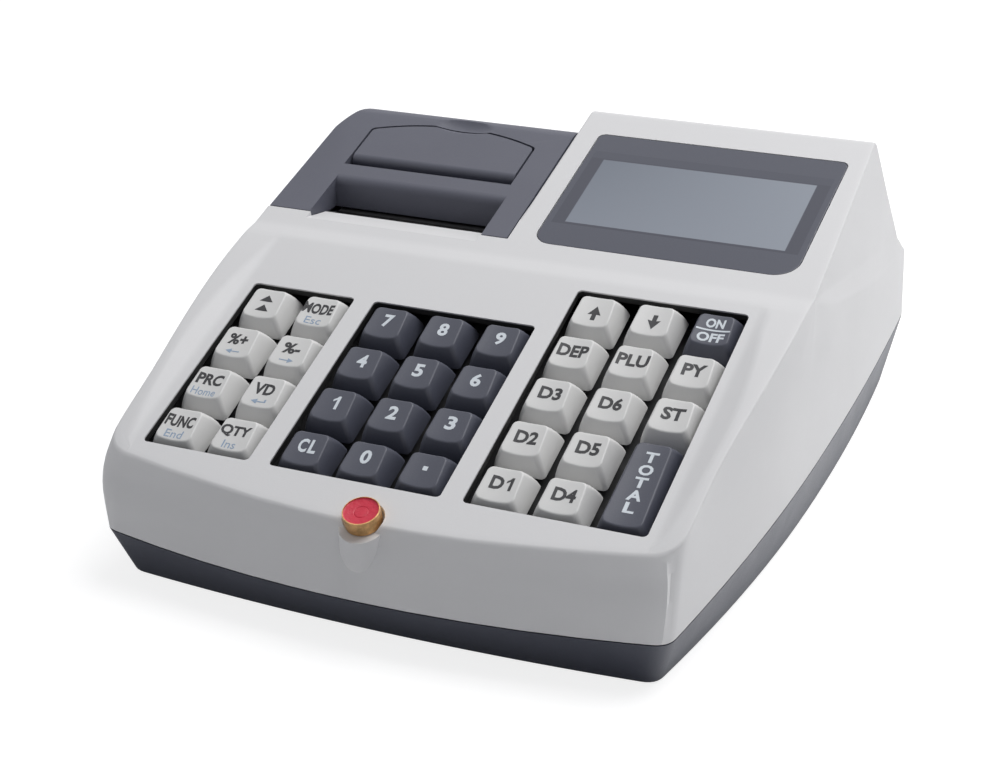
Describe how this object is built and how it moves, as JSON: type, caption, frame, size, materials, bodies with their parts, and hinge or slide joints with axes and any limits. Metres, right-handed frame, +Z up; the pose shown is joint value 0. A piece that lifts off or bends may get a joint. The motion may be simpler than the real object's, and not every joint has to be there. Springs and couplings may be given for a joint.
{
  "type": "ticket register",
  "caption": "Portable ticket register with a sloping key deck, a display hood, a ticket printer under a hinged cover with a release lever, and a service seal.",
  "frame": {"origin": "centre of the bounding box on the surface that the register stands on", "axes": "+X to the user's right, +Y to the back, +Z up; the key deck faces -Y"},
  "size_m": [0.1944, 0.2688, 0.1087],
  "materials": {
    "case_light": "light grey, fine texture",
    "case_dark": "dark blue-grey, fine texture",
    "cover_grey": "blue-grey, fine texture",
    "key_light": "off-white, satin",
    "key_dark": "dark blue-grey, satin",
    "lens": "tinted window, glossy",
    "lcd": "grey liquid crystal display",
    "inner_grey": "plain moulding",
    "inner_black": "plain moulding",
    "silicone": "soft silicone",
    "board": "solder mask",
    "battery": "shrink sleeve",
    "steel": "plain",
    "rubber": "plain",
    "gear": "moulded gears",
    "brass": "worn",
    "wax": "red sealing compound"
  },
  "bodies": {
    "case": {"upper_case": "case_light", "lower_case": "case_dark", "display_lens": "lens", "display_panel": "lcd", "key_guide": "inner_grey", "key_mat": "silicone", "key_board": "board", "main_board": "board", "fiscal_memory": "inner_black", "battery_pack": "battery", "battery_door": "case_dark", "printer_frame": "inner_black", "print_head": "steel", "tear_bar": "steel", "stepper_motor": "steel", "rear_sockets": "inner_black", "rubber_feet": "rubber", "case_screws": "steel", "seal_cup": "brass", "seal_wax": "wax"},
    "cover": {"printer_cover": "cover_grey"},
    "lever": {"cover_lever": "cover_grey"},
    "platen": {"platen_roller": "rubber", "platen_gear": "gear"},
    "idler": {"idler_gear": "gear"},
    "pinion": {"motor_pinion": "brass"},
    "key_func": {"key_func": "key_light"},
    "key_qty": {"key_qty": "key_light"},
    "key_prc": {"key_prc": "key_light"},
    "key_vd": {"key_vd": "key_light"},
    "key_percent_plus": {"key_percent_plus": "key_light"},
    "key_percent_minus": {"key_percent_minus": "key_light"},
    "key_feed": {"key_feed": "key_light"},
    "key_mode": {"key_mode": "key_light"},
    "key_d1": {"key_d1": "key_light"},
    "key_d4": {"key_d4": "key_light"},
    "key_d2": {"key_d2": "key_light"},
    "key_d5": {"key_d5": "key_light"},
    "key_d3": {"key_d3": "key_light"},
    "key_d6": {"key_d6": "key_light"},
    "key_st": {"key_st": "key_light"},
    "key_dep": {"key_dep": "key_light"},
    "key_plu": {"key_plu": "key_light"},
    "key_py": {"key_py": "key_light"},
    "key_up": {"key_up": "key_light"},
    "key_down": {"key_down": "key_light"},
    "key_cl": {"key_cl": "key_dark"},
    "key_0": {"key_0": "key_dark"},
    "key_dot": {"key_dot": "key_dark"},
    "key_1": {"key_1": "key_dark"},
    "key_2": {"key_2": "key_dark"},
    "key_3": {"key_3": "key_dark"},
    "key_4": {"key_4": "key_dark"},
    "key_5": {"key_5": "key_dark"},
    "key_6": {"key_6": "key_dark"},
    "key_7": {"key_7": "key_dark"},
    "key_8": {"key_8": "key_dark"},
    "key_9": {"key_9": "key_dark"},
    "key_total": {"key_total": "key_dark"},
    "key_on_off": {"key_on_off": "key_dark"}
  },
  "joints": [
    {"name": "cover_hinge", "type": "hinge", "parent": "case", "child": "cover", "pos_m": [-0.048, 0.05276, 0.09225], "axis": [-1, 0, 0], "range_deg": [0, 80]},
    {"name": "lever_hinge", "type": "hinge", "parent": "cover", "child": "lever", "pos_m": [-0.05, 0.02715, 0.09254], "axis": [1, 0, 0], "range_deg": [0, 50]},
    {"name": "platen_spin", "type": "hinge", "parent": "case", "child": "platen", "pos_m": [-0.049, 0.01054, 0.07149], "axis": [1, 0, 0], "continuous": true},
    {"name": "idler_spin", "type": "hinge", "parent": "case", "child": "idler", "pos_m": [-0.083, 0.0081, 0.0577], "axis": [1, 0, 0], "continuous": true},
    {"name": "pinion_spin", "type": "hinge", "parent": "case", "child": "pinion", "pos_m": [-0.083, 0.00602, 0.04588], "axis": [1, 0, 0], "continuous": true},
    {"name": "key_func_press", "type": "slide", "parent": "case", "child": "key_func", "axis": [0, 0.3633, -0.9317], "range_m": [0, 0.0035], "stiffness_N_per_m": 150, "springref_m": -0.002, "deforming": ["key_mat"]},
    {"name": "key_qty_press", "type": "slide", "parent": "case", "child": "key_qty", "axis": [0, 0.3633, -0.9317], "range_m": [0, 0.0035], "stiffness_N_per_m": 150, "springref_m": -0.002},
    {"name": "key_prc_press", "type": "slide", "parent": "case", "child": "key_prc", "axis": [0, 0.3633, -0.9317], "range_m": [0, 0.0035], "stiffness_N_per_m": 150, "springref_m": -0.002},
    {"name": "key_vd_press", "type": "slide", "parent": "case", "child": "key_vd", "axis": [0, 0.3633, -0.9317], "range_m": [0, 0.0035], "stiffness_N_per_m": 150, "springref_m": -0.002},
    {"name": "key_percent_plus_press", "type": "slide", "parent": "case", "child": "key_percent_plus", "axis": [0, 0.3633, -0.9317], "range_m": [0, 0.0035], "stiffness_N_per_m": 150, "springref_m": -0.002},
    {"name": "key_percent_minus_press", "type": "slide", "parent": "case", "child": "key_percent_minus", "axis": [0, 0.3633, -0.9317], "range_m": [0, 0.0035], "stiffness_N_per_m": 150, "springref_m": -0.002},
    {"name": "key_feed_press", "type": "slide", "parent": "case", "child": "key_feed", "axis": [0, 0.3633, -0.9317], "range_m": [0, 0.0035], "stiffness_N_per_m": 150, "springref_m": -0.002},
    {"name": "key_mode_press", "type": "slide", "parent": "case", "child": "key_mode", "axis": [0, 0.3633, -0.9317], "range_m": [0, 0.0035], "stiffness_N_per_m": 150, "springref_m": -0.002},
    {"name": "key_d1_press", "type": "slide", "parent": "case", "child": "key_d1", "axis": [0, 0.3633, -0.9317], "range_m": [0, 0.0035], "stiffness_N_per_m": 150, "springref_m": -0.002},
    {"name": "key_d4_press", "type": "slide", "parent": "case", "child": "key_d4", "axis": [0, 0.3633, -0.9317], "range_m": [0, 0.0035], "stiffness_N_per_m": 150, "springref_m": -0.002},
    {"name": "key_d2_press", "type": "slide", "parent": "case", "child": "key_d2", "axis": [0, 0.3633, -0.9317], "range_m": [0, 0.0035], "stiffness_N_per_m": 150, "springref_m": -0.002},
    {"name": "key_d5_press", "type": "slide", "parent": "case", "child": "key_d5", "axis": [0, 0.3633, -0.9317], "range_m": [0, 0.0035], "stiffness_N_per_m": 150, "springref_m": -0.002},
    {"name": "key_d3_press", "type": "slide", "parent": "case", "child": "key_d3", "axis": [0, 0.3633, -0.9317], "range_m": [0, 0.0035], "stiffness_N_per_m": 150, "springref_m": -0.002},
    {"name": "key_d6_press", "type": "slide", "parent": "case", "child": "key_d6", "axis": [0, 0.3633, -0.9317], "range_m": [0, 0.0035], "stiffness_N_per_m": 150, "springref_m": -0.002},
    {"name": "key_st_press", "type": "slide", "parent": "case", "child": "key_st", "axis": [0, 0.3633, -0.9317], "range_m": [0, 0.0035], "stiffness_N_per_m": 150, "springref_m": -0.002},
    {"name": "key_dep_press", "type": "slide", "parent": "case", "child": "key_dep", "axis": [0, 0.3633, -0.9317], "range_m": [0, 0.0035], "stiffness_N_per_m": 150, "springref_m": -0.002},
    {"name": "key_plu_press", "type": "slide", "parent": "case", "child": "key_plu", "axis": [0, 0.3633, -0.9317], "range_m": [0, 0.0035], "stiffness_N_per_m": 150, "springref_m": -0.002},
    {"name": "key_py_press", "type": "slide", "parent": "case", "child": "key_py", "axis": [0, 0.3633, -0.9317], "range_m": [0, 0.0035], "stiffness_N_per_m": 150, "springref_m": -0.002},
    {"name": "key_up_press", "type": "slide", "parent": "case", "child": "key_up", "axis": [0, 0.3633, -0.9317], "range_m": [0, 0.0035], "stiffness_N_per_m": 150, "springref_m": -0.002},
    {"name": "key_down_press", "type": "slide", "parent": "case", "child": "key_down", "axis": [0, 0.3633, -0.9317], "range_m": [0, 0.0035], "stiffness_N_per_m": 150, "springref_m": -0.002},
    {"name": "key_cl_press", "type": "slide", "parent": "case", "child": "key_cl", "axis": [0, 0.3633, -0.9317], "range_m": [0, 0.0035], "stiffness_N_per_m": 150, "springref_m": -0.002},
    {"name": "key_0_press", "type": "slide", "parent": "case", "child": "key_0", "axis": [0, 0.3633, -0.9317], "range_m": [0, 0.0035], "stiffness_N_per_m": 150, "springref_m": -0.002},
    {"name": "key_dot_press", "type": "slide", "parent": "case", "child": "key_dot", "axis": [0, 0.3633, -0.9317], "range_m": [0, 0.0035], "stiffness_N_per_m": 150, "springref_m": -0.002},
    {"name": "key_1_press", "type": "slide", "parent": "case", "child": "key_1", "axis": [0, 0.3633, -0.9317], "range_m": [0, 0.0035], "stiffness_N_per_m": 150, "springref_m": -0.002},
    {"name": "key_2_press", "type": "slide", "parent": "case", "child": "key_2", "axis": [0, 0.3633, -0.9317], "range_m": [0, 0.0035], "stiffness_N_per_m": 150, "springref_m": -0.002},
    {"name": "key_3_press", "type": "slide", "parent": "case", "child": "key_3", "axis": [0, 0.3633, -0.9317], "range_m": [0, 0.0035], "stiffness_N_per_m": 150, "springref_m": -0.002},
    {"name": "key_4_press", "type": "slide", "parent": "case", "child": "key_4", "axis": [0, 0.3633, -0.9317], "range_m": [0, 0.0035], "stiffness_N_per_m": 150, "springref_m": -0.002},
    {"name": "key_5_press", "type": "slide", "parent": "case", "child": "key_5", "axis": [0, 0.3633, -0.9317], "range_m": [0, 0.0035], "stiffness_N_per_m": 150, "springref_m": -0.002},
    {"name": "key_6_press", "type": "slide", "parent": "case", "child": "key_6", "axis": [0, 0.3633, -0.9317], "range_m": [0, 0.0035], "stiffness_N_per_m": 150, "springref_m": -0.002},
    {"name": "key_7_press", "type": "slide", "parent": "case", "child": "key_7", "axis": [0, 0.3633, -0.9317], "range_m": [0, 0.0035], "stiffness_N_per_m": 150, "springref_m": -0.002},
    {"name": "key_8_press", "type": "slide", "parent": "case", "child": "key_8", "axis": [0, 0.3633, -0.9317], "range_m": [0, 0.0035], "stiffness_N_per_m": 150, "springref_m": -0.002},
    {"name": "key_9_press", "type": "slide", "parent": "case", "child": "key_9", "axis": [0, 0.3633, -0.9317], "range_m": [0, 0.0035], "stiffness_N_per_m": 150, "springref_m": -0.002},
    {"name": "key_total_press", "type": "slide", "parent": "case", "child": "key_total", "axis": [0, 0.3633, -0.9317], "range_m": [0, 0.0035], "stiffness_N_per_m": 150, "springref_m": -0.002},
    {"name": "key_on_off_press", "type": "slide", "parent": "case", "child": "key_on_off", "axis": [0, 0.3633, -0.9317], "range_m": [0, 0.0035], "stiffness_N_per_m": 150, "springref_m": -0.002}
  ],
  "couplings": [
    {"joint": "idler_spin", "follows": "platen_spin", "ratio": -0.75},
    {"joint": "pinion_spin", "follows": "platen_spin", "ratio": 1.5}
  ]
}
